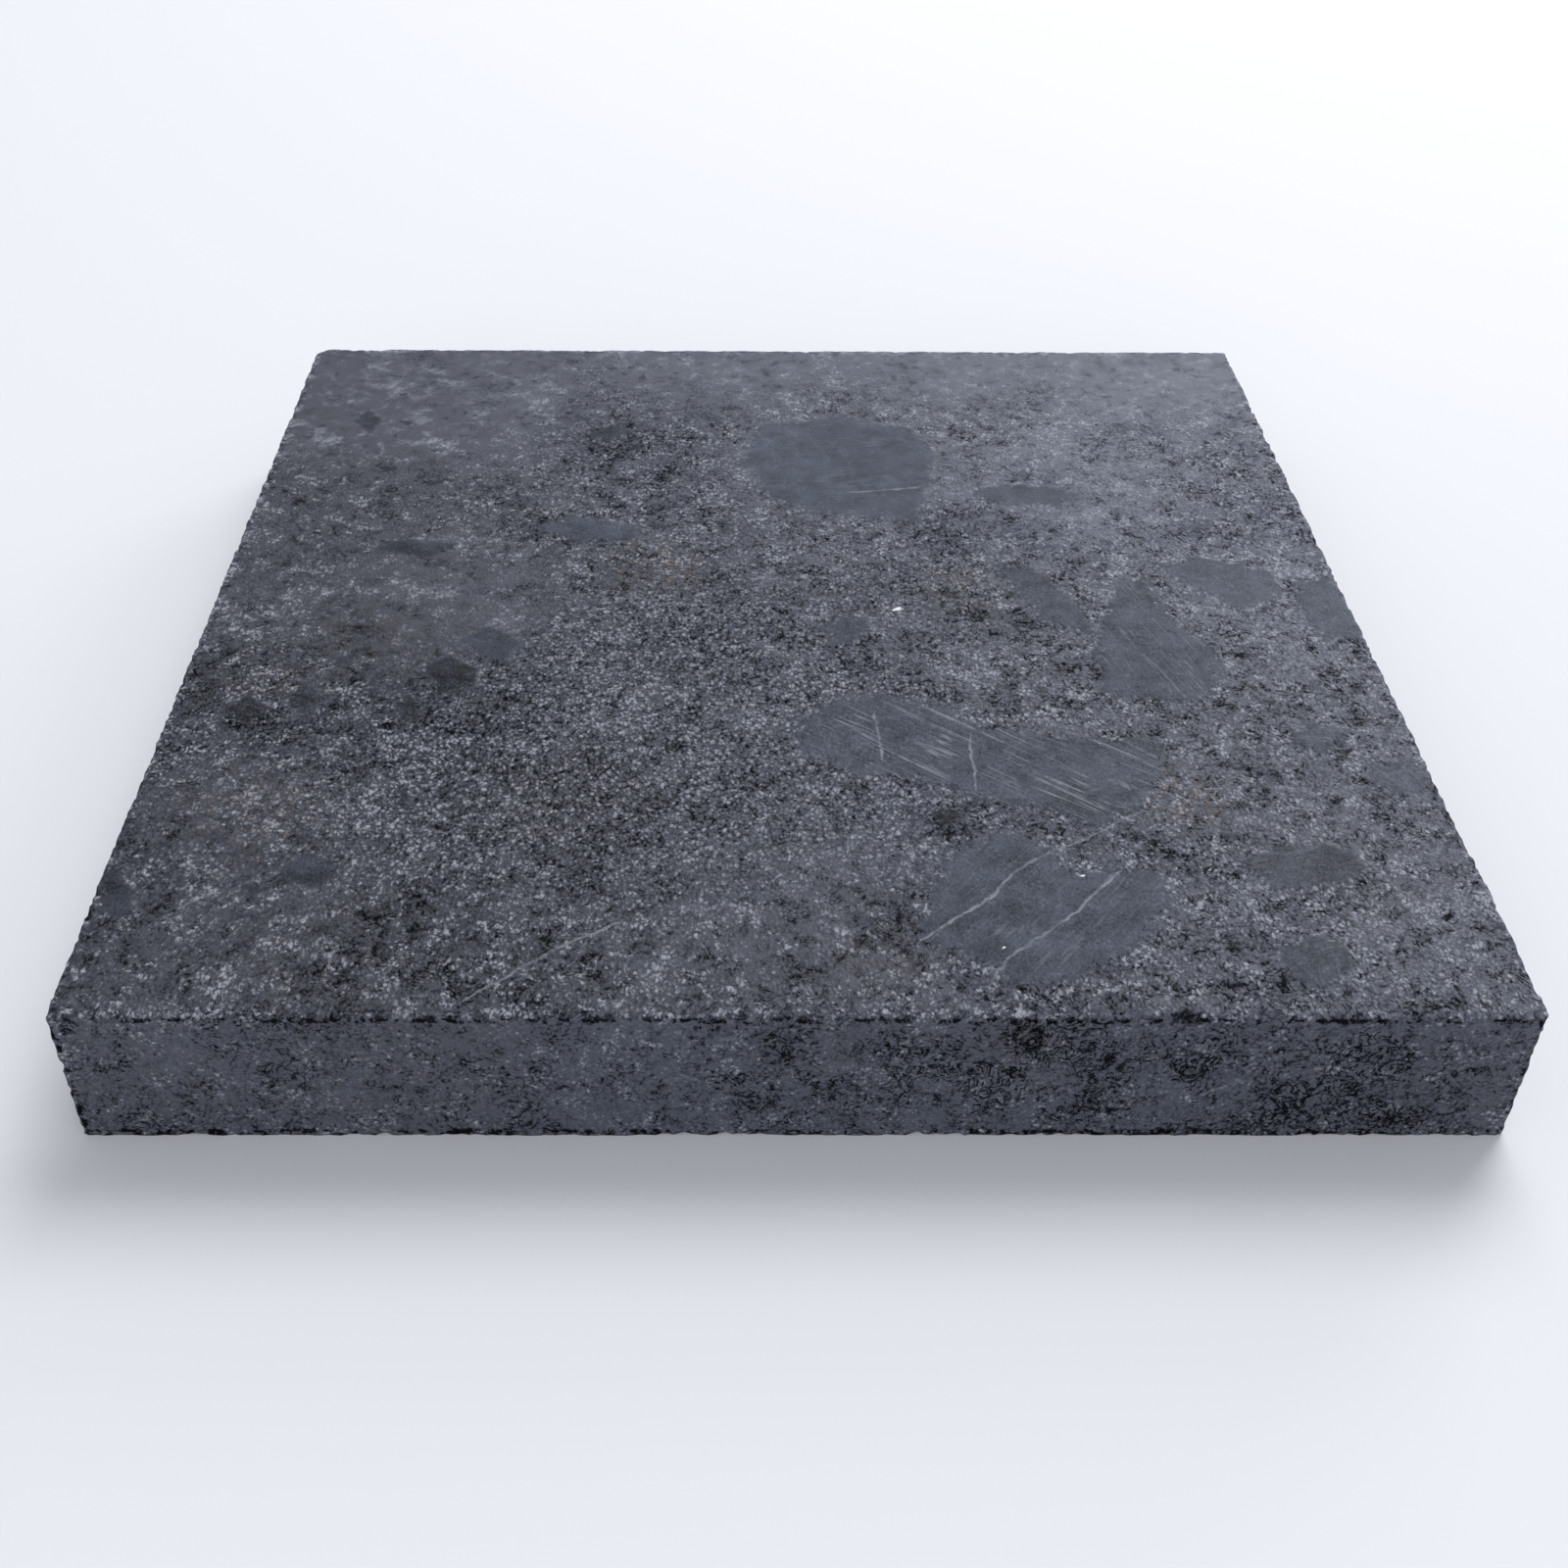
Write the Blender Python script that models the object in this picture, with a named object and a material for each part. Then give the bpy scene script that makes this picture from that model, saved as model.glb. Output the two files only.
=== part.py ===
"""Granite slab for leatherwork: a square plate sawn from one piece of dark granite.

Everything is in metres, with +Z up. The origin is the middle of the underside, the slab's length
lies along X and its width along Y. The slab has no joints, so the model has one solid.
"""

import math

import bmesh
import bpy
from mathutils import Matrix, Vector

# The stone blank
SLAB_LENGTH = 0.150  # along X
SLAB_WIDTH = 0.150  # along Y
SLAB_THICKNESS = 0.018  # along Z

# Eased edges: the narrow flat along every long edge of the top and of the underside
TOP_ARRIS = 0.00035
BOTTOM_ARRIS = 0.00050

# Upright corners, by the side of the slab they stand on: how far each is rubbed back
CORNER_WEAR = {
    ("left", "front"): 0.0005,
    ("right", "front"): 0.0008,
    ("left", "back"): 0.0015,
    ("right", "back"): 0.0005,
}
CORNER_SEGMENTS = 4

# Chip knocked out of the top front edge
CHIP_FROM_RIGHT = 0.0363  # from the slab's right side to the middle of the chip
CHIP_LENGTH = 0.0034  # along the edge
CHIP_ON_TOP = 0.0010  # how far it reaches into the top
CHIP_ON_FRONT = 0.0009  # how far it reaches down the front
CHIP_RINGS = 8
CHIP_SEGMENTS = 12

# Finish
GRANITE_COLOUR = (0.085, 0.090, 0.110, 1.0)
GRANITE_ROUGHNESS = 0.7

SIDES = {"left": -1, "right": 1, "front": -1, "back": 1}


def clear_scene():
    for obj in list(bpy.data.objects):
        bpy.data.objects.remove(obj, do_unlink=True)


def new_collection(name):
    collection = bpy.data.collections.new(name)
    bpy.context.scene.collection.children.link(collection)
    return collection


def new_object(name, bm, collection):
    mesh = bpy.data.meshes.new(name)
    bm.to_mesh(mesh)
    bm.free()
    obj = bpy.data.objects.new(name, mesh)
    collection.objects.link(obj)
    return obj


def granite():
    material = bpy.data.materials.new("granite")
    material.use_nodes = True
    shader = material.node_tree.nodes["Principled BSDF"]
    shader.inputs["Base Color"].default_value = GRANITE_COLOUR
    shader.inputs["Roughness"].default_value = GRANITE_ROUGHNESS
    shader.inputs["Metallic"].default_value = 0.0
    return material


def upright_edge(bm, across, along):
    """The edge that runs from the underside to the top at one corner of the slab."""
    sign_x, sign_y = SIDES[across], SIDES[along]
    return [
        edge
        for edge in bm.edges
        if all(v.co.x * sign_x > 0 and v.co.y * sign_y > 0 for v in edge.verts)
    ]


def rim_edges(bm, height):
    """The edges around the top or the underside."""
    return [
        edge
        for edge in bm.edges
        if all(math.isclose(v.co.z, height, abs_tol=1e-7) for v in edge.verts)
    ]


def bevel(bm, edges, offset, segments):
    bmesh.ops.bevel(
        bm,
        geom=edges,
        offset=offset,
        offset_type="OFFSET",
        segments=segments,
        profile=0.5,
        affect="EDGES",
        material=-1,
    )


def slab_blank(collection):
    """The sawn plate with its worn corners and eased edges."""
    bm = bmesh.new()
    size = Matrix.Diagonal((SLAB_LENGTH, SLAB_WIDTH, SLAB_THICKNESS, 1.0))
    lift = Matrix.Translation((0.0, 0.0, SLAB_THICKNESS / 2))
    bmesh.ops.create_cube(bm, size=1.0, matrix=lift @ size)
    for (across, along), wear in CORNER_WEAR.items():
        bevel(bm, upright_edge(bm, across, along), wear, CORNER_SEGMENTS)
    bevel(bm, rim_edges(bm, SLAB_THICKNESS), TOP_ARRIS, 1)
    bevel(bm, rim_edges(bm, 0.0), BOTTOM_ARRIS, 1)
    return new_object("granite_slab", bm, collection)


def chip_cutter(collection):
    """A lens of stone, centred on the top front edge, that the chip took away."""
    middle = Vector((SLAB_LENGTH / 2 - CHIP_FROM_RIGHT, -SLAB_WIDTH / 2, SLAB_THICKNESS))
    radii = Matrix.Diagonal((CHIP_LENGTH / 2, CHIP_ON_TOP, CHIP_ON_FRONT, 1.0))
    bm = bmesh.new()
    bmesh.ops.create_uvsphere(
        bm,
        u_segments=CHIP_SEGMENTS,
        v_segments=CHIP_RINGS,
        radius=1.0,
        matrix=Matrix.Translation(middle) @ radii,
    )
    cutter = new_object("arris_chip_cutter", bm, collection)
    cutter.hide_render = True
    cutter.display_type = "WIRE"
    return cutter


def cut(target, cutter):
    modifier = target.modifiers.new("arris_chip", "BOOLEAN")
    modifier.operation = "DIFFERENCE"
    modifier.solver = "EXACT"
    modifier.object = cutter


def main():
    clear_scene()
    parts = new_collection("Granite slab")
    cutters = new_collection("Cutters")
    slab = slab_blank(parts)
    slab.data.materials.append(granite())
    cut(slab, chip_cutter(cutters))


main()
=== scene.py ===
"""Granite slab for leatherwork: the finished stone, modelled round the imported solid.

The stone is one closed mesh. Its top is leathered: smooth slate-dark crystals stand in a granular
groundmass. Its sides are rough from the saw, and its edges are chipped. Lengths are in metres in
the properties and in millimetres where the stone is sculpted, which suits its grain.
"""

import bmesh
import bpy
import numpy as np
from mathutils import Euler, Matrix, Vector, noise


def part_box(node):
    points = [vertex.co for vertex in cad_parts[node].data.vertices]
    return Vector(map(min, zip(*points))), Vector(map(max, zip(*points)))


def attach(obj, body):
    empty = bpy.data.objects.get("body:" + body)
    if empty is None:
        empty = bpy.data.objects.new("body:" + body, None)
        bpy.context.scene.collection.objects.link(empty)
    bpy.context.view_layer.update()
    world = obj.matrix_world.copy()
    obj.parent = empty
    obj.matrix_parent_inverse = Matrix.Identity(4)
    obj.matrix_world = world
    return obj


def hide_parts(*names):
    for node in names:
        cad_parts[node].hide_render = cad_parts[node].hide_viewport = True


bl_info = {
    "name": "Granite slab",
    "version": (1, 0, 0),
    "blender": (4, 5, 0),
    "location": "3D View > Sidebar > Granite slab",
    "description": "Models a leathered granite slab and sets it on a plain stage",
    "category": "Object",
}

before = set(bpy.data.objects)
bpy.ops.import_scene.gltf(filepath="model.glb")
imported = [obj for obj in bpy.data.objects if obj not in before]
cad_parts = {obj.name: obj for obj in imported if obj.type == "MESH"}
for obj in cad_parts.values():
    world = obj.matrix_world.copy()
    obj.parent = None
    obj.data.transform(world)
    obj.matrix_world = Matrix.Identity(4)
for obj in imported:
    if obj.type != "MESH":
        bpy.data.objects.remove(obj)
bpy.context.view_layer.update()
SLAB_NODE = "granite_slab"
SLAB_LOW, SLAB_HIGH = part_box(SLAB_NODE)
BODY = "root"
MM = 0.001

# Vertices nearer than this are welded, and the underside has every fifth line of the top's grid
WELD = 1e-6
UNDERSIDE_STEP = 5

# How many lines from an edge the mesh is still clearly finer, on the top and on the sides, and the
# height of a side's cells as a share of the top's
TOP_REACH = 5
SIDE_REACH = 3
SIDE_CELL = 1.1

# Along each face, the depth in millimetres that its relief moves fully, and where it ends
SKIN = (0.2, 0.6)

# The look of a worn edge, with pits partly painted as shade, fades out between these distances from it, in
# millimetres
EDGE_REACH = (0.4, 1.5)

# Extra wear of each upright corner in millimetres, by the signs of its X and Y
CORNER_WEAR = {(-1, -1): 0.3, (1, -1): 0.5, (-1, 1): 2.0, (1, 1): 0.3}

# The chip in the front top edge: its middle from the right end, its reach and its cut, in millimetres
CHIP_FROM_RIGHT = 36.3
CHIP_REACH = 1.1
CHIP_CUT = 1.6

# Limits in millimetres of the distances kept for crystals and cracks, the distances between which
# a crack's band fades, and the distance given to places away from any bright grain
CRYSTAL_LIMIT = 4
CRACK_LIMIT = 2
CRACK_BAND = (0.8, 1.6)
FAR_OUTSIDE = -9.0

# A vertex nearer the top than this, in millimetres, is on it
ON_TOP = 0.01

# Crystals in the top: outline in millimetres from its middle, the angle in degrees of the fine
# scratches across it, how strongly it is scratched, and how much paler than the rest it is.
CRYSTALS = (
    (
        ((-5, 38), (-3, 49), (10, 52), (21, 48), (24, 41), (22, 30), (19, 20), (5, 23), (-1, 27)),
        10, 0.2, 0.12,
    ),
    (((27, 29), (31, 31), (38, 31), (44, 28), (40, 25), (32, 25)), 5, 0.2, 0.05),
    (((-34, 19), (-30, 21.5), (-22, 20), (-19, 18), (-21, 15), (-29, 15)), 0, 0.1, 0.1),
    (((28.5, 9.5), (34, 8), (38, 2), (41, -7.5), (37, -7), (33.5, -3.5), (31, 3.5)), -60, 0.1, -0.1),
    (((45, 4), (49, 5.5), (51, -4.5), (56, -14), (51, -22.5), (39, -20.5), (39.5, -11.5)), -72, 0.5, 0.0),
    (((51, 9), (59, 11), (66, 8), (67.5, 3), (61, -3), (56, 2)), -60, 0.2, 0.15),
    (((69, 5.5), (75, 6), (75, -8.5), (70, -9), (68, -3)), -60, 0.1, 0.1),
    (((5, -6.5), (7, -4), (11, -3.5), (11.5, -6.5), (9, -9.5), (5.5, -10)), -20, 0.1, -0.1),
    (
        ((1.5, -25), (9, -20.5), (18, -23), (24, -28), (34, -30), (44.5, -29.5), (44, -35), (40.5, -41.5))
        + ((34, -46), (29.5, -43), (21, -40.5), (15, -37), (7, -37), (0.5, -31)),
        -38, 0.95, -0.05,
    ),
    (
        ((17.5, -49.5), (24.5, -47), (28.5, -49.5), (30.5, -53.5), (36, -53), (40.5, -53.5), (40, -58.5))
        + ((35, -65.5), (28, -70), (21.5, -70.5), (18, -66.5), (13, -64), (14, -59)),
        50, 0.35, 0.0,
    ),
    (((49, -52), (53.5, -49), (59, -48.5), (62.5, -50), (62, -53.5), (57, -56), (52, -56)), 20, 0.35, -0.28),
    (((50.5, -65), (54.5, -63), (57.5, -65), (56.5, -68.5), (53, -71), (50, -69.5)), 20, 0.25, -0.3),
    (((61, -28), (64, -26.5), (66, -28), (64, -32), (61, -31.5)), 0, 0.1, 0.0),
    (((68, -35), (72.5, -33.5), (75, -38), (71, -41), (68, -39.5)), -60, 0.2, 0.05),
    (((-45.5, -15), (-42.7, -12.8), (-38.3, -15.6), (-38.2, -19.4), (-42.5, -20.9)), 0, 0.0, -0.9),
    (((-68.4, -24), (-66, -21.2), (-62.7, -23.8), (-65, -27.4)), 0, 0.0, -0.85),
    (((-61.5, -22), (-59.6, -18.2), (-56.6, -21.5), (-57.3, -25.9)), 0, 0.0, -0.65),
    (((-48.2, -23.2), (-46.2, -21.3), (-44.3, -25), (-46.2, -26.7)), 0, 0.0, -0.65),
    (((-65, 50), (-63.5, 54.5), (-60.5, 50), (-62, 45.5)), 0, 0.0, -0.45),
    (((-57, 12.5), (-51.5, 15.5), (-44, 14.5), (-48, 10.5)), 0, 0.0, -0.4),
    (((-28.5, 46), (-25, 49), (-22, 47), (-25.5, 44)), 0, 0.0, -0.3),
    (((-75, -55.5), (-73.5, -52.5), (-71, -56.5), (-69.5, -61), (-72.5, -60.5)), 0, 0.1, -0.5),
    (((-55.5, -53), (-53.5, -50), (-49.5, -52.5), (-50.5, -56), (-54, -55.5)), 0, 0.0, -0.4),
    (((-42, -9), (-38, -6), (-33, -10), (-35, -14), (-38, -13)), 0, 0.1, -0.3),
    (((15.6, -44.0), (17.6, -42.2), (19.6, -43.9), (17.5, -46.2)), 0, 0.0, -0.95),
)

# Pale healed cracks in the top: the points that each runs through, in millimetres
CRACKS = (
    ((-33.5, -72.5), (-28.5, -68), (-24, -64.5), (-19, -61.5)),
    ((13, -64), (18.5, -59.5), (21, -57.5), (24, -53.5), (28.5, -50), (32.5, -48), (36.5, -45), (40, -43)),
    ((19.5, -70), (22, -66.5), (25.5, -63.5), (29.5, -60), (33, -56), (35.5, -53.5)),
    ((11, 28.5), (20, 30)),
    ((21.6, -30), (21.4, -38.5)),
    ((10.5, -25), (11, -33)),
)

# Round zones: middle and radius in millimetres, and strength. Those of the top are seen from above:
# where grains are rusty, where the relief and contrast are calmer, and where the ground is finer.
RUSTY_ZONES = (
    (-17, 8, 11, 1), (-52, -8, 15, 0.55), (-66, -18, 11, 0.7), (-62, -45, 15, 0.7), (-48, -66, 15, 0.45),
    (45, -41, 8, 1), (8, -66, 8, 0.6), (24, 3, 9, 0.8), (-25, -40, 14, 0.5), (60, -55, 12, 0.4),
)
QUIET_ZONES = (
    (-60, 66, 50, 0.95), (-10, 78, 36, 0.9), (25, 80, 36, 0.9), (62, 74, 40, 0.85), (-65, 10, 36, 0.35),
    (-68, -55, 32, 0.3), (42, 30, 26, 0.35), (0, -62, 26, 0.25), (-47, -2, 25, 0.6), (10, 38, 24, 0.6),
)
SANDY_ZONES = ((-14, -28, 46, 1), (-42, -42, 26, 0.7), (16, 2, 22, 0.4))

# The groundmass is painted paler towards the far right, a painted sheen: its share at the middle, the rise
# per millimetre, the limits of that, and round zones that are paler still, partly paler tone, partly painted
# sheen
PAINTED_SHEEN_MIDDLE = 0.26
PAINTED_SHEEN_DRIFT = (0.0095, 0.0045)
PAINTED_SHEEN_LIMITS = (-0.3, 1)
PALE_AND_SHEEN_ZONES = ((42, 30, 28, 0.4), (72, 0, 26, 0.3))

# Pitted zones of the sides, by their distance in millimetres from the middle and their height
PITTED_ZONES = (
    (23, 11, 26, 1), (52, 8, 26, 0.9), (-2, 6, 20, 0.6), (-62, 9, 14, 0.3),
    (23, 15, 4, 1.8), (40, 10, 3.5, 1.5),
)
RUSTY_SIDE_ZONES = ((-42, 15, 22, 1), (-68, 8, 16, 0.9), (23, 14, 8, 1), (5, 15, 12, 0.6), (68, 6, 14, 0.5))

# Bright grains in the top: middle, length and width in millimetres, and the turn in degrees
BRIGHT_GRAINS = (
    (14.6, -2.0, 2.1, 0.95, 25), (31.3, -54.0, 1.0, 0.8, 10), (45.4, -53.0, 0.7, 0.6, 0),
    (47.6, -55.2, 0.7, 0.5, 0), (21.2, -65.3, 0.9, 0.5, 40),
)

# How fine each pattern is, about as its features in a millimetre, and how far grains are bent
FINE_GRAINS = 3.4
SMALL_GRAINS = 4.0
GRAINS = 2.1
EDGE_GRAINS = 0.8
EDGE_PITS_AND_SHADE = 0.9
BENDS = 1.3
BEND_REACH = 0.7
CRACK_BREAKS = 0.7
RAGGED_EDGES = 0.55
FISSURES = 0.55
SMALL_CRYSTALS = 0.42
CREVICES_AND_SHADE = 0.36
CLUMPS = 0.33
PATCHES = 0.30
SCRATCH_BREAKS = 0.25
FISSURE_CLUSTERS = 0.15
CLOUDS = 0.075

# Grains lie a little longer front to back, and hairlines are far longer than they are apart
GRAIN_SQUEEZE = (1.0, 0.74, 1.0)
HAIRLINE_STRETCH = (0.03, 0.85, 1.0)

# From a grain's middle, in its own size: where the gap round it begins and where it is full
GAP = (0.28, 0.66)

# Crystals darker than the first of these have crisp edges, and those paler than the second ragged ones
DARK_CRYSTALS = (-0.35, -0.1)

# What is left of the clumps and crevices where the ground is sandy
SANDY_PATCHINESS = 0.25

# Height in millimetres of the relief that is finer than the mesh
FINE_RELIEF = 0.11

# The lights, each a square turned to the target: name, place and size in metres, and tint
LIGHT_TARGET = (0.0, 0.0, 0.0)
LIGHTS = (
    ("key", (0.38, 0.85, 1.35), 0.9, (0.96, 0.98, 1.0)),
    ("rim", (1.15, 1.55, 0.62), 0.9, (0.94, 0.97, 1.0)),
    ("fill", (-0.2, -1.2, 0.55), 0.8, (0.93, 0.96, 1.0)),
)

# Half the floor's side, in metres
FLOOR_REACH = 4.0

# The camera's sensor in millimetres, its place in sides of the slab from the origin, its turns in
# radians, and its shift
SENSOR_WIDTH = 36.0
CAMERA_PLACE = (-0.0479, -1.3299, 0.9959)
CAMERA_DOWN = 0.6537
CAMERA_TURN = -0.0105
CAMERA_ROLL = 0.0083
CAMERA_SHIFT = (0.0259, -0.0351)


# --- Properties -------------------------------------------------------------------------------


class StoneSizes(bpy.types.PropertyGroup):
    cell: bpy.props.FloatProperty(
        name="Cell", description="Spacing of the mesh across the stone", default=0.000615, unit="LENGTH"
    )
    edge_share: bpy.props.FloatProperty(
        name="Edge cell", description="Size of a cell at an edge, as a share of Cell", default=0.4
    )
    top_relief: bpy.props.FloatProperty(
        name="Top relief", description="Depth of the leathered top", default=0.00022, unit="LENGTH"
    )
    side_relief: bpy.props.FloatProperty(
        name="Side relief", description="Depth of the rough sides", default=0.00024, unit="LENGTH"
    )
    arris_wear: bpy.props.FloatProperty(
        name="Edge chipping", description="Largest chip along an edge", default=0.0005, unit="LENGTH"
    )
    chip_length: bpy.props.FloatProperty(
        name="Chip length", description="Length of the chip in the front edge", default=0.0034, unit="LENGTH"
    )


def colour_property(name, description, default):
    return bpy.props.FloatVectorProperty(
        name=name, description=description, default=default, size=3, subtype="COLOR", min=0.0, max=1.0
    )


class StoneColours(bpy.types.PropertyGroup):
    # The darkest colour: dark grains, and the painted shade of gaps, crevices, hollows, edge pits and the
    # chip
    dark_grain_and_shade: colour_property("Dark grain", "Pits and dark grains", (0.006, 0.006, 0.008))
    mid_grain: colour_property("Middle grain", "Most of the groundmass", (0.063, 0.067, 0.087))
    light_grain: colour_property("Light grain", "Feldspar flecks", (0.285, 0.295, 0.335))
    crystal: colour_property("Crystal", "Smooth dark crystals", (0.045, 0.052, 0.072))
    scratch: colour_property("Scratch", "Scratches and healed cracks", (0.190, 0.200, 0.225))
    rust: colour_property("Rust", "Tint of the rusty grains", (0.86, 0.68, 0.55))
    sawn: colour_property("Sawn", "Sawn sides", (0.078, 0.085, 0.109))
    bright: colour_property("Bright grain", "The few bright grains", (0.80, 0.80, 0.80))


class StageSettings(bpy.types.PropertyGroup):
    floor: colour_property("Floor", "Pale floor", (0.765, 0.755, 0.780))
    sky: colour_property("Sky", "Colour of the even light from all round", (0.90, 0.94, 1.0))
    sky_strength: bpy.props.FloatProperty(
        name="Sky", description="Strength of the even light", default=0.50
    )
    key_power: bpy.props.FloatProperty(
        name="Key", description="Power of the light behind the slab", default=17.5, unit="POWER"
    )
    rim_power: bpy.props.FloatProperty(
        name="Rim",
        description="Power of the low light behind the slab on the right",
        default=14.0,
        unit="POWER",
    )
    fill_power: bpy.props.FloatProperty(
        name="Fill", description="Power of the light in front of the slab", default=6.5, unit="POWER"
    )
    focal_length: bpy.props.FloatProperty(
        name="Lens", description="Focal length on a 36 mm sensor", default=41.34, unit="CAMERA"
    )


# --- Modelling the stone ----------------------------------------------------------------------


def graded(count, low, high, reach, share):
    """count + 1 places from low to high, closer together towards both ends."""
    index = np.arange(count + 1.0)
    lost = reach * (1 - share)
    place = index - lost * (1 - np.exp(-index / reach))
    place += lost * (1 - np.exp(-(count - index) / reach))
    place = (place - place[0]) / (place[-1] - place[0])
    return low + place * (high - low)


def rim_of(faces):
    """The edges that belong to only one of these faces."""
    inside = set(faces)
    return [e for f in inside for e in f.edges if sum(g in inside for g in e.link_faces) == 1]


def add_grid(bm, columns, rows, height):
    """A flat grid with a line at each of columns (X) and rows (Y)."""
    made = bmesh.ops.create_grid(bm, x_segments=len(columns) - 1, y_segments=len(rows) - 1, size=1.0)
    for vert in made["verts"]:
        across = round((vert.co.x + 1) / 2 * (len(columns) - 1))
        along = round((vert.co.y + 1) / 2 * (len(rows) - 1))
        vert.co = (columns[across], rows[along], height)
    return rim_of({f for v in made["verts"] for f in v.link_faces})


def split_at_lines(edges, lines_by_axis):
    """Adds a vertex to each straight edge wherever one of the finer lines crosses it."""
    for edge in edges:
        start, end = sorted(edge.verts, key=lambda vert: tuple(vert.co))
        axis = 0 if end.co.x - start.co.x > abs(end.co.y - start.co.y) else 1
        low, high = sorted((start.co[axis], end.co[axis]))
        crossing = [line for line in lines_by_axis[axis] if low + WELD < line < high - WELD]
        for line in sorted(crossing, key=lambda line: -abs(line - start.co[axis])):
            corner = end.co.copy()
            end = bmesh.utils.edge_split(edge, end, 0.5)[1]
            end.co = corner
            end.co[axis] = line


def blank_stone(sizes):
    """The closed block that is sculpted: a fine top and sides, and a coarser underside."""
    low, high = SLAB_LOW, SLAB_HIGH
    lost = 2 * (1 - sizes.edge_share)
    count = (high.x - low.x) / sizes.cell + TOP_REACH * lost
    count = UNDERSIDE_STEP * round(count / UNDERSIDE_STEP)
    side_count = round((high.z - low.z) / (SIDE_CELL * sizes.cell) + SIDE_REACH * lost)
    columns = graded(count, low.x, high.x, TOP_REACH, sizes.edge_share)
    rows = graded(count, low.y, high.y, TOP_REACH, sizes.edge_share)
    heights = graded(side_count, high.z, low.z, SIDE_REACH, sizes.edge_share)
    bm = bmesh.new()
    rim = add_grid(bm, columns, rows, high.z)
    for height in heights[1:]:
        made = bmesh.ops.extrude_edge_only(bm, edges=rim)["geom"]
        rim = [e for e in made if isinstance(e, bmesh.types.BMEdge)]
        for vert in (v for v in made if isinstance(v, bmesh.types.BMVert)):
            vert.co.z = height
    under = add_grid(bm, columns[::UNDERSIDE_STEP], rows[::UNDERSIDE_STEP], low.z)
    split_at_lines(under, (columns, rows))
    at_floor = [v for v in bm.verts if v.co.z < low.z + WELD]
    bmesh.ops.remove_doubles(bm, verts=at_floor, dist=WELD)
    bmesh.ops.recalc_face_normals(bm, faces=bm.faces)
    return bm


def noise_at(places, scale, octaves=1, offset=0.0):
    """Smooth noise from about -1 to 1 at places in millimetres, scale being its size."""
    shift = Vector((offset, offset * 0.7, offset * 0.3))
    return np.array(
        [noise.fractal(Vector(p) / scale + shift, 0.7, 2.0, octaves) for p in places.tolist()]
    )


def smoothstep(low, high, values):
    t = np.clip((values - low) / (high - low), 0, 1)
    return t * t * (3 - 2 * t)


def inside_outline(places, outline):
    """Distance in millimetres to a closed outline, positive inside it."""
    corners = np.array(outline, float)
    nearest = np.full(len(places), np.inf)
    inside = np.zeros(len(places), bool)
    for a, b in zip(corners, np.roll(corners, -1, axis=0)):
        edge, to = b - a, places - a
        share = np.clip(to @ edge / (edge @ edge), 0, 1)
        nearest = np.minimum(nearest, np.linalg.norm(to - share[:, None] * edge, axis=1))
        crosses = (places[:, 1] < a[1]) != (places[:, 1] < b[1])
        rise = np.where(edge[1] == 0, 1e-9, edge[1])
        inside ^= crosses & (places[:, 0] < a[0] + (places[:, 1] - a[1]) * edge[0] / rise)
    return np.where(inside, nearest, -nearest)


def crystal_fields(places):
    """At each place: distance into the nearest crystal, and that crystal's other three values."""
    depth = np.full(len(places), -np.inf)
    angle, scratched, paler = np.zeros((3, len(places)))
    for outline, turn, scratches, shade in CRYSTALS:
        found = inside_outline(places[:, :2], outline)
        over = (found > depth) | (found > 0)
        depth = np.maximum(depth, found)
        angle[over] = np.radians(turn)
        scratched[over] = scratches
        paler[over] = shade
    return np.clip(depth, -CRYSTAL_LIMIT, CRYSTAL_LIMIT), angle, scratched, paler


def crack_fields(places):
    """At each place: signed distance to the nearest crack, and 1 beside it fading to 0."""
    across = np.full(len(places), np.inf)
    reach = np.zeros(len(places))
    for crack in CRACKS:
        points = np.array(crack, float)
        for a, b in zip(points[:-1], points[1:]):
            edge, to = b - a, places[:, :2] - a
            length = np.linalg.norm(edge)
            along = to @ edge / length
            side = (edge[0] * to[:, 1] - edge[1] * to[:, 0]) / length
            away = np.hypot(side, np.maximum(np.maximum(-along, along - length), 0))
            nearer = away < np.abs(across)
            across[nearer] = (np.sign(side) * away)[nearer]
            reach[nearer] = (1 - smoothstep(*CRACK_BAND, away))[nearer]
    return np.clip(across, -CRACK_LIMIT, CRACK_LIMIT), reach


def grain_field(places):
    """Distance in millimetres into the nearest bright grain, positive inside it."""
    depth = np.full(len(places), FAR_OUTSIDE)
    for x, y, length, width, degrees in BRIGHT_GRAINS:
        turn = np.radians(degrees)
        along = (places[:, 0] - x) * np.cos(turn) + (places[:, 1] - y) * np.sin(turn)
        across = (places[:, 1] - y) * np.cos(turn) - (places[:, 0] - x) * np.sin(turn)
        taper = np.clip(0.5 + along / length, 0.1, 1)
        inside = np.minimum(length / 2 - np.abs(along), width / 2 * taper - np.abs(across))
        depth = np.maximum(depth, inside)
    return depth


def front_chip(places, sizes, rough):
    """How far inside the chip in the front top edge each place is, from 0 to 1."""
    low, high = np.array(SLAB_LOW) / MM, np.array(SLAB_HIGH) / MM
    middle = (high[0] - CHIP_FROM_RIGHT, low[1], high[2])
    along = (places[:, 0] - middle[0]) / (sizes.chip_length / MM / 2)
    below = np.linalg.norm(places[:, 1:] - middle[1:], axis=1) / CHIP_REACH
    return np.clip(1.1 - along**2 - below**2 - 0.5 * rough, 0, 1)


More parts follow.
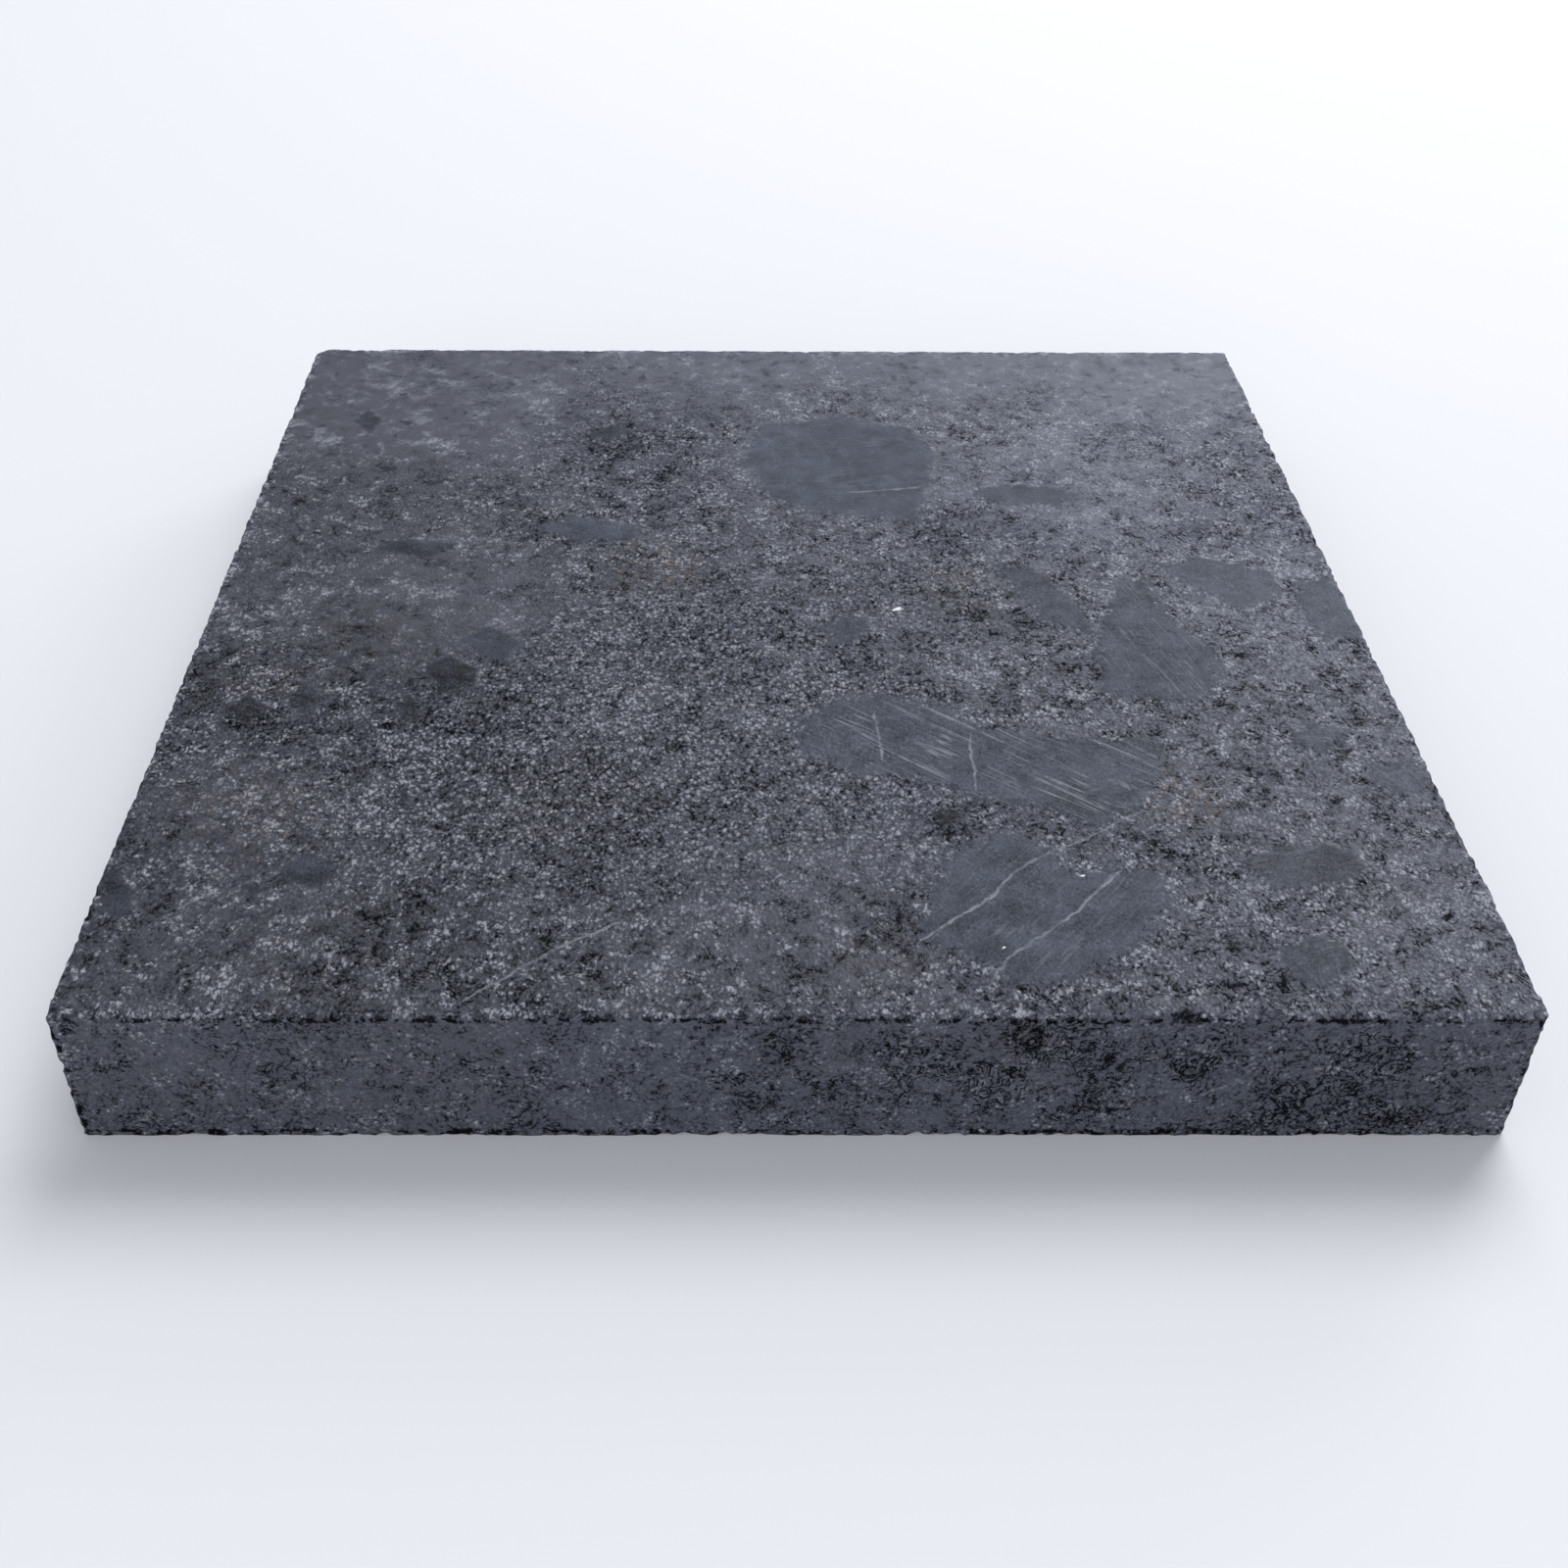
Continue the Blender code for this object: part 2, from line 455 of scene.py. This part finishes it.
def chip_edges(places, sizes):
    """Knocks the edges back by slopes of varying width.

    Returns how near an edge each place is, and how far it is in the chip, which is painted as shade.
    """
    low, high = np.array(SLAB_LOW) / MM, np.array(SLAB_HIGH) / MM
    rough = noise_at(places, 1.1, 2, 3.0)
    coarse = noise_at(places, 5.0, 2, 9.0)
    chipping = 0.05 + sizes.arris_wear / MM * np.clip(0.1 + 0.9 * rough + 0.8 * coarse, 0, 1) ** 1.5
    chip = front_chip(places, sizes, rough)
    nearest = np.full(len(places), np.inf)
    for first, second in ((0, 2), (1, 2), (0, 1)):
        for first_side in (-1, 1):
            for second_side in (-1, 1):
                first_plane = high[first] if first_side > 0 else low[first]
                second_plane = high[second] if second_side > 0 else low[second]
                inward = first_side * (first_plane - places[:, first])
                inward += second_side * (second_plane - places[:, second])
                width = chipping
                if second == 1:
                    width = chipping + CORNER_WEAR[first_side, second_side] * (1 + 0.3 * rough)
                elif first == 1 and first_side < 0 and second_side > 0:
                    width = np.maximum(chipping, CHIP_CUT * np.sqrt(chip))
                nearest = np.minimum(nearest, inward)
                cut = np.clip(width - inward, 0, None) / 2
                places[:, first] -= first_side * cut
                places[:, second] -= second_side * cut
    return 1 - smoothstep(*EDGE_REACH, nearest), smoothstep(0.05, 0.5, chip)


def zone_field(places, zones):
    """The greatest strength of the round zones at each place: full in a zone's middle, 0 at its rim."""
    amount = np.zeros(len(places))
    for x, y, radius, strength in zones:
        away = np.hypot(places[:, 0] - x, places[:, 1] - y) / radius
        amount = np.maximum(amount, strength * (1 - smoothstep(0.3, 1.0, away)))
    return amount


def side_field(places, zones):
    """The same on the sides: each face is read along itself from its left, and up."""
    x, y, z = places.T
    along = np.where(np.abs(y) > np.abs(x), -x * np.sign(y), y * np.sign(x))
    return zone_field(np.column_stack((along, z)), zones)


def roughen(places, crystal, open_top, sizes):
    """Sinks the faces by noise, pitted on top and rough on the sides. Returns how deep each place sinks, for
    painted shade.
    """
    low, high = np.array(SLAB_LOW) / MM, np.array(SLAB_HIGH) / MM
    fine = noise_at(places, 1.6, 3, 1.0)
    middle = noise_at(places, 4.5, 3, 5.0)
    ground = 1 - smoothstep(-0.7, 0.5, crystal)
    hollow = np.clip(0.45 + 0.5 * fine + 0.4 * middle, 0, 1)
    hollow += 0.5 * smoothstep(0.4, 0.9, fine + 0.4 * middle)
    sink = open_top * ground * sizes.top_relief / MM * hollow
    sink += 0.05 * ground + 0.02 * np.clip(1 + middle, 0, 2)
    below_top = high[2] - places[:, 2]
    top = below_top < SKIN[1]
    places[:, 2] -= np.where(top, sink * (1 - smoothstep(*SKIN, below_top)), 0)
    side = sizes.side_relief / MM * np.clip(0.3 + 0.6 * fine + 0.3 * middle, 0, 1.5)
    for axis in (0, 1):
        for sign, plane in ((-1, low[axis]), (1, high[axis])):
            near = 1 - smoothstep(*SKIN, np.abs(places[:, axis] - plane))
            places[:, axis] -= sign * near * side
    return np.where(top, ground * hollow, 0.4 + 0.4 * fine)


def surface_fields(places):
    """What the material needs to know at each place of the uncut block."""
    crystal, angle, scratched, paler = crystal_fields(places)
    across, reach = crack_fields(places)
    on_top = places[:, 2] > SLAB_HIGH.z / MM - ON_TOP
    wobble = 0.5 * (1 + paler) * noise_at(places, 2.2, 2, 11.0)
    # Painted sheen: the groundmass is made paler towards the far right
    pale = np.clip(PAINTED_SHEEN_MIDDLE + places[:, :2] @ PAINTED_SHEEN_DRIFT, *PAINTED_SHEEN_LIMITS)
    return {
        "crystal": np.where(on_top, crystal + wobble, -CRYSTAL_LIMIT),
        "hatch_angle": angle,
        "scratched": scratched,
        "paler": paler,
        "crack": across,
        "crack_reach": np.where(on_top, reach, 0),
        "rust": np.where(on_top, zone_field(places, RUSTY_ZONES), side_field(places, RUSTY_SIDE_ZONES)),
        "open": np.where(on_top, 1 - zone_field(places, QUIET_ZONES), 1.0),
        "sandy": zone_field(places, SANDY_ZONES),
        "pale": pale + zone_field(places, PALE_AND_SHEEN_ZONES),
        "pitted": side_field(places, PITTED_ZONES),
        "bright": np.where(on_top, grain_field(places), FAR_OUTSIDE),
        "sawn": np.where(on_top, 0.0, 1.0),
    }


def stone_mesh(sizes):
    bm = blank_stone(sizes)
    mesh = bpy.data.meshes.new(SLAB_NODE)
    bm.to_mesh(mesh)
    bm.free()
    places = np.empty(len(mesh.vertices) * 3)
    mesh.vertices.foreach_get("co", places)
    places = places.reshape(-1, 3) / MM
    fields = surface_fields(places)
    fields["arris"], fields["chipped"] = chip_edges(places, sizes)
    fields["sunk"] = roughen(places, fields["crystal"], fields["open"], sizes)
    mesh.vertices.foreach_set("co", (places * MM).ravel())
    for name, values in fields.items():
        attribute = mesh.attributes.new(name, "FLOAT", "POINT")
        attribute.data.foreach_set("value", values.astype(np.float32))
    mesh.shade_smooth()
    mesh.update()
    return mesh


# --- Materials --------------------------------------------------------------------------------


class Nodes:
    """Adds nodes to a material and joins them."""

    def __init__(self, name):
        self.material = bpy.data.materials.new(name)
        self.material.use_nodes = True
        self.tree = self.material.node_tree
        self.shader = self.tree.nodes["Principled BSDF"]

    def put(self, socket, value):
        if isinstance(value, bpy.types.NodeSocket):
            self.tree.links.new(value, socket)
        else:
            socket.default_value = value

    def add(self, kind, inputs, **settings):
        node = self.tree.nodes.new("ShaderNode" + kind)
        for name, value in settings.items():
            setattr(node, name, value)
        for name, value in inputs.items():
            self.put(node.inputs[name], value)
        return node

    def attribute(self, name):
        return self.add("Attribute", {}, attribute_name=name).outputs["Fac"]

    def maths(self, operation, a, b=0.0, c=0.0):
        return self.add("Math", {0: a, 1: b, 2: c}, operation=operation).outputs[0]

    def step(self, value, low, high, to_low=0.0, to_high=1.0):
        """value eased from to_low at low to to_high at high."""
        inputs = {"Value": value, "From Min": low, "From Max": high, "To Min": to_low, "To Max": to_high}
        return self.add("MapRange", inputs, interpolation_type="SMOOTHSTEP").outputs[0]

    def mix(self, share, a, b, blend="MIX"):
        node = self.add("Mix", {0: share}, data_type="RGBA", blend_type=blend)
        self.put(node.inputs[6], colour(a))
        self.put(node.inputs[7], colour(b))
        return node.outputs[2]

    def times(self, a, b):
        return self.maths("MULTIPLY", a, b)

    def plus(self, base, value, share):
        """base and that share of value."""
        return self.maths("MULTIPLY_ADD", value, share, base)

    def grey(self, value):
        return self.add("CombineColor", {0: value, 1: value, 2: value}).outputs[0]

    def tinted(self, a, b):
        """The product of two colours."""
        return self.mix(1.0, a, b, "MULTIPLY")

    def noise(self, vector, scale, detail=2.0, roughness=0.5, distortion=0.0):
        inputs = {"Vector": vector, "Scale": scale, "Detail": detail}
        inputs.update({"Roughness": roughness, "Distortion": distortion})
        return self.add("TexNoise", inputs).outputs["Fac"]

    def uneven(self, vector, scale, detail, roughness=0.5, distortion=0.0):
        """Noise that runs from about -0.5 to 0.5."""
        return self.maths("SUBTRACT", self.noise(vector, scale, detail, roughness, distortion), 0.5)

    def lines(self, vector, scale, inner, outer, *noise_settings):
        """1 along winding lines, and 0 away from them."""
        away = self.maths("ABSOLUTE", self.uneven(vector, scale, *noise_settings))
        return self.step(away, inner, outer, 1.0, 0.0)

    def cells(self, vector, scale):
        """Grains: a random value for each, how near a gap between them is, and another random value."""
        made = self.add("TexVoronoi", {"Vector": vector, "Scale": scale}, feature="F1")
        random = self.add("SeparateColor", {0: made.outputs["Color"]}).outputs
        return random[0], self.step(made.outputs["Distance"], *GAP), random[1]


def colour(value):
    """A colour property as the four numbers that a socket takes; a socket stays as it is."""
    return value if isinstance(value, bpy.types.NodeSocket) else (*value, 1.0)


class Granite(Nodes):
    """The stone's material, its patterns measured in millimetres and its levels from dark 0 to light 1."""

    def __init__(self, colours):
        super().__init__("leathered_granite")
        self.colours = colours
        place = self.add("TexCoord", {}).outputs["Object"]
        self.mm = self.add("Mapping", {"Vector": place, "Scale": (1 / MM,) * 3}).outputs[0]
        upright = self.add("Mapping", {"Vector": self.mm, "Scale": GRAIN_SQUEEZE}).outputs[0]
        self.sawn = self.attribute("sawn")
        self.arris = self.attribute("arris")
        self.open_top = self.attribute("open")
        self.paler = self.attribute("paler")
        self.pitted = self.attribute("pitted")
        self.patches = self.uneven(self.mm, PATCHES, 4.0, 0.6, 0.4)
        self.fine = self.uneven(upright, FINE_GRAINS, 3.0, 0.7)
        self.ragged = self.uneven(self.mm, RAGGED_EDGES, 5.0, 0.7)
        warped = self.bent(upright)
        self.grain, self.gap, hue = self.cells(warped, GRAINS)
        self.small_grain, self.small_gap, _ = self.cells(warped, SMALL_GRAINS)
        rusty_grains = self.step(hue, 0.50, 0.62)
        self.rusty = self.times(self.times(self.attribute("rust"), 0.75), rusty_grains)
        self.in_crystal = self.crystal_mask()
        self.set_shader(self.ground_level())

    def bent(self, vector):
        """The vector moved about, so that grains aren't regular."""
        warp = self.add("TexNoise", {"Vector": self.mm, "Scale": BENDS, "Detail": 2.0}).outputs["Color"]
        warp = self.add("VectorMath", {0: warp, 1: (0.5,) * 3}, operation="SUBTRACT").outputs[0]
        moved = {0: warp, 1: (BEND_REACH,) * 3, 2: vector}
        return self.add("VectorMath", moved, operation="MULTIPLY_ADD").outputs[0]

    def crystal_mask(self):
        """1 in the smooth crystals, whose edges are ragged where grains break in; dark ones are crisper."""
        coarse_share = self.step(self.paler, *DARK_CRYSTALS, 0.8, 6.5)
        fine_share = self.step(self.paler, *DARK_CRYSTALS, 0.8, 3.0)
        depth = self.plus(self.attribute("crystal"), self.ragged, coarse_share)
        depth = self.plus(depth, self.fine, fine_share)
        small = self.step(self.noise(self.mm, SMALL_CRYSTALS, 2.0, 0.5, 0.3), 0.64, 0.69)
        return self.maths("MAXIMUM", self.step(depth, -0.4, 0.6, 0.0, 0.88), self.times(small, 0.7))

    def ground_level(self):
        """Rounded grains, each of its own tone, in clumps, with painted shade in the gaps and crevice lines
        between them.

        Where the ground is sandy the grains are plainer to see, and clumps and crevice lines fade.
        """
        clump = self.step(self.noise(self.mm, CLUMPS, 5.0, 0.72, 0.5), 0.45, 0.62)
        clouds = self.uneven(self.mm, CLOUDS, 3.0, 0.55, 0.6)
        grains = self.times(self.fine, 0.70)
        grains = self.plus(grains, self.maths("SUBTRACT", self.small_grain, 0.5), 0.26)
        grains = self.plus(grains, self.maths("SUBTRACT", self.grain, 0.5), 0.36)
        # Painted shade: the gaps between the grains, where their relief dips, are painted darker
        grains = self.plus(grains, self.maths("SUBTRACT", self.gap, 0.35), -0.25)
        patchy = self.step(self.attribute("sandy"), 0.0, 1.0, 1.0, SANDY_PATCHINESS)
        contrast = self.step(patchy, SANDY_PATCHINESS, 1.0, 1.2, 0.68)
        contrast = self.plus(contrast, self.times(clump, patchy), 0.90)
        contrast = self.times(self.open_top, contrast)
        level = self.plus(self.step(patchy, SANDY_PATCHINESS, 1.0, 0.50, 0.54), grains, contrast)
        level = self.plus(level, self.times(self.maths("SUBTRACT", clump, 0.45), patchy), 0.16)
        level = self.plus(level, self.times(self.patches, patchy), 0.40)
        level = self.plus(level, clouds, 0.50)
        # Painted shade: the deeper hollows of the relief are painted darker
        level = self.plus(level, self.maths("SUBTRACT", self.attribute("sunk"), 0.45), -0.16)
        # Winding crevice lines painted dark, partly dark cracks and partly painted shade in them
        crevices_and_shade = self.lines(self.mm, CREVICES_AND_SHADE, 0.006, 0.050, 4.0, 0.68, 1.4)
        crevices_and_shade = self.times(crevices_and_shade, self.step(self.patches, -0.12, 0.05, 1.0, 0.25))
        level = self.plus(level, self.times(self.times(crevices_and_shade, patchy), self.open_top), -0.38)
        edge_grains = self.step(self.noise(self.mm, EDGE_GRAINS, 3.0, 0.6), 0.40, 0.65)
        level = self.plus(level, self.times(self.arris, edge_grains), 0.22)
        # Painted shade: the chip in the front top edge is painted darker
        return self.plus(level, self.attribute("chipped"), -0.4)

    def rusted(self, base, share):
        """A colour with that share of it tinted by rust."""
        return self.mix(share, base, self.tinted(base, self.colours.rust))

    def ground(self, level):
        base = self.mix(self.step(level, 0.0, 0.50), self.colours.dark_grain_and_shade, self.colours.mid_grain)
        # Painted sheen and paler zones: the ground is tinted paler towards the far right
        base = self.tinted(base, self.grey(self.plus(1.0, self.attribute("pale"), 0.7)))
        base = self.mix(self.step(level, 0.48, 0.95), base, self.colours.light_grain)
        return self.rusted(base, self.rusty)

    def scratches(self):
        """Broken hairlines that lie at each crystal's own angle."""
        angle = self.times(self.attribute("hatch_angle"), -1.0)
        turned = self.add("VectorRotate", {"Vector": self.mm, "Angle": angle}, rotation_type="Z_AXIS")
        stretched = {"Vector": turned.outputs[0], "Scale": HAIRLINE_STRETCH}
        stretched = self.add("Mapping", stretched).outputs[0]
        hairlines = self.lines(stretched, 1.0, 0.004, 0.022, 1.0, 0.5)
        broken = self.step(self.noise(self.mm, SCRATCH_BREAKS, 3.0, 0.6), 0.40, 0.56)
        return self.times(self.times(hairlines, broken), self.attribute("scratched"))

    def crystals(self, scratch):
        tone = self.plus(self.plus(1.0, self.patches, 2.0), self.paler, 0.9)
        tone = self.plus(tone, self.times(self.fine, self.open_top), 3.2)
        smooth = self.tinted(self.colours.crystal, self.grey(tone))
        return self.mix(self.times(scratch, 0.9), smooth, self.colours.scratch)

    def fissures(self):
        """Black worm-like fissures in clusters, for the sides."""
        cluster = self.plus(self.uneven(self.mm, FISSURE_CLUSTERS, 4.0, 0.6), self.pitted, 0.20)
        fissures = self.lines(self.mm, FISSURES, 0.008, 0.05, 4.0, 0.66, 1.2)
        return self.times(fissures, self.step(cluster, 0.10, 0.24))

    def side_level(self, level, fissures):
        """The groundmass as the saw left it: flatter, with fissures, and dark pits along the edges, partly
        painted shade.
        """
        pits_and_shade = self.step(self.noise(self.mm, EDGE_PITS_AND_SHADE, 3.0, 0.6), 0.54, 0.40)
        level = self.plus(0.53, self.maths("SUBTRACT", level, 0.5), 0.68)
        level = self.plus(level, fissures, -0.44)
        # Painted shade along the arrises: dark pits, partly real pits and partly painted shade of the
        # chipped edges
        level = self.plus(level, self.times(self.step(self.arris, 0.15, 0.85), pits_and_shade), -0.5)
        return self.plus(level, self.step(self.pitted, 1.1, 2.0), -0.25)

    def side(self, level):
        base = self.mix(self.step(level, 0.06, 0.54), self.colours.dark_grain_and_shade, self.colours.sawn)
        base = self.mix(self.step(level, 0.56, 1.0), base, self.colours.light_grain)
        return self.rusted(base, self.times(self.rusty, 0.5))

    def healed_cracks(self):
        """1 along the pale cracks, which wander and come and go."""
        wander = self.plus(self.attribute("crack"), self.ragged, 1.3)
        vein = self.step(self.maths("ABSOLUTE", wander), 0.05, 0.26, 1.0, 0.0)
        broken = self.step(self.noise(self.mm, CRACK_BREAKS, 3.0, 0.6), 0.38, 0.60, 0.35, 1.0)
        return self.times(self.times(vein, self.attribute("crack_reach")), broken)

    def relief(self, fissures, scratch):
        """Relief finer than the mesh."""
        bumpy = self.times(self.maths("SUBTRACT", 1.0, self.in_crystal), self.open_top)
        bumpy = self.maths("MAXIMUM", bumpy, self.times(self.sawn, 0.7))
        height = self.plus(self.times(self.grain, 0.45), self.gap, -0.8)
        height = self.plus(height, self.small_gap, -0.3)
        height = self.plus(height, self.fine, 1.0)
        height = self.times(height, self.plus(0.06, bumpy, 0.94))
        height = self.plus(height, fissures, self.times(self.sawn, -1.0))
        height = self.plus(height, scratch, self.times(self.in_crystal, 0.08))
        return self.add("Bump", {"Height": height, "Strength": 1.0, "Distance": FINE_RELIEF * MM}).outputs[0]

    def set_shader(self, level):
        """Lays the colours over one another, and sets the sheen and the relief."""
        scratch = self.scratches()
        fissures = self.fissures()
        side_level = self.side_level(level, fissures)
        base = self.mix(self.in_crystal, self.ground(level), self.crystals(scratch))
        base = self.mix(self.healed_cracks(), base, self.colours.scratch)
        base = self.mix(self.sawn, base, self.side(side_level))
        base = self.mix(self.step(self.attribute("bright"), -0.05, 0.05), base, self.colours.bright)
        self.put(self.shader.inputs["Base Color"], base)

        # Gaps and fissures hold no sheen
        sheen = self.maths("MAXIMUM", self.step(side_level, 0.10, 0.50), self.in_crystal)
        sheen = self.times(sheen, self.step(self.in_crystal, 0.0, 1.0, 0.3, 0.14))
        self.put(self.shader.inputs["Specular IOR Level"], sheen)
        rough = self.plus(self.step(self.in_crystal, 0.0, 1.0, 0.60, 0.58), self.fine, 0.2)
        self.put(self.shader.inputs["Roughness"], self.plus(rough, self.sawn, 0.15))
        self.put(self.shader.inputs["Normal"], self.relief(fissures, scratch))


def floor_material(stage):
    n = Nodes("pale_floor")
    n.put(n.shader.inputs["Base Color"], colour(stage.floor))
    n.put(n.shader.inputs["Roughness"], 0.9)
    n.put(n.shader.inputs["Specular IOR Level"], 0.2)
    return n.material


# --- Operators --------------------------------------------------------------------------------


def new_object(name, mesh):
    obj = bpy.data.objects.new(name, mesh)
    bpy.context.scene.collection.objects.link(obj)
    return obj


class GRANITE_OT_stone(bpy.types.Operator):
    """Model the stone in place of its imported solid"""

    bl_idname = "granite.stone"
    bl_label = "Stone"

    def execute(self, context):
        stone = new_object("leathered_stone", stone_mesh(context.scene.stone_sizes))
        stone.data.materials.append(Granite(context.scene.stone_colours).material)
        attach(stone, BODY)
        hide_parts(SLAB_NODE)
        return {"FINISHED"}


def area_light(name, power, place, size, tint):
    light = bpy.data.lights.new(name, "AREA")
    light.energy = power
    light.shape = "SQUARE"
    light.size = size
    light.color = tint
    lamp = new_object(name, light)
    lamp.location = place
    lamp.rotation_euler = (Vector(LIGHT_TARGET) - Vector(place)).to_track_quat("-Z", "Y").to_euler()


class GRANITE_OT_stage(bpy.types.Operator):
    """Set the floor, the lights and the camera"""

    bl_idname = "granite.stage"
    bl_label = "Stage"

    def execute(self, context):
        stage = context.scene.stage_settings
        self.add_floor(stage)
        self.add_lights(context.scene, stage)
        self.add_camera(context.scene, stage)
        context.scene.view_settings.view_transform = "Standard"
        return {"FINISHED"}

    def add_floor(self, stage):
        bm = bmesh.new()
        lift = Matrix.Translation((0.0, 0.0, SLAB_LOW.z))
        bmesh.ops.create_grid(bm, x_segments=1, y_segments=1, size=FLOOR_REACH, matrix=lift)
        mesh = bpy.data.meshes.new("floor")
        bm.to_mesh(mesh)
        bm.free()
        mesh.materials.append(floor_material(stage))
        new_object("floor", mesh)

    def add_lights(self, scene, stage):
        world = bpy.data.worlds.new("even_sky")
        world.use_nodes = True
        background = world.node_tree.nodes["Background"]
        background.inputs["Color"].default_value = colour(stage.sky)
        background.inputs["Strength"].default_value = stage.sky_strength
        scene.world = world
        for name, place, size, tint in LIGHTS:
            area_light(name, getattr(stage, name + "_power"), place, size, tint)

    def add_camera(self, scene, stage):
        data = bpy.data.cameras.new("camera")
        data.sensor_width = SENSOR_WIDTH
        data.lens = stage.focal_length
        data.shift_x, data.shift_y = CAMERA_SHIFT
        data.clip_start = 0.01
        camera = new_object("camera", data)
        side = SLAB_HIGH.x - SLAB_LOW.x
        camera.location = Vector(CAMERA_PLACE) * side
        tilt = Euler((np.pi / 2 - CAMERA_DOWN, 0.0, CAMERA_TURN)).to_matrix()
        roll = Matrix.Rotation(CAMERA_ROLL, 3, "Z")
        camera.rotation_euler = (tilt @ roll).to_euler()
        scene.camera = camera


class VIEW3D_PT_granite_slab(bpy.types.Panel):
    """Sizes, colours and steps of the granite slab"""

    bl_idname = "VIEW3D_PT_granite_slab"
    bl_label = "Granite slab"
    bl_space_type = "VIEW_3D"
    bl_region_type = "UI"
    bl_category = "Granite slab"

    def draw(self, context):
        for settings in ("stone_sizes", "stone_colours", "stage_settings"):
            box = self.layout.box()
            group = getattr(context.scene, settings)
            for name in group.bl_rna.properties.keys():
                if name not in ("rna_type", "name"):
                    box.prop(group, name)
        self.layout.operator(GRANITE_OT_stone.bl_idname)
        self.layout.operator(GRANITE_OT_stage.bl_idname)


CLASSES = (
    StoneSizes, StoneColours, StageSettings, GRANITE_OT_stone, GRANITE_OT_stage, VIEW3D_PT_granite_slab,
)


def register():
    for cls in CLASSES:
        bpy.utils.register_class(cls)
    bpy.types.Scene.stone_sizes = bpy.props.PointerProperty(type=StoneSizes)
    bpy.types.Scene.stone_colours = bpy.props.PointerProperty(type=StoneColours)
    bpy.types.Scene.stage_settings = bpy.props.PointerProperty(type=StageSettings)


def unregister():
    del bpy.types.Scene.stage_settings
    del bpy.types.Scene.stone_colours
    del bpy.types.Scene.stone_sizes
    for cls in reversed(CLASSES):
        bpy.utils.unregister_class(cls)


def main():
    register()
    bpy.ops.granite.stone()
    bpy.ops.granite.stage()


if __name__ == "__main__":
    main()
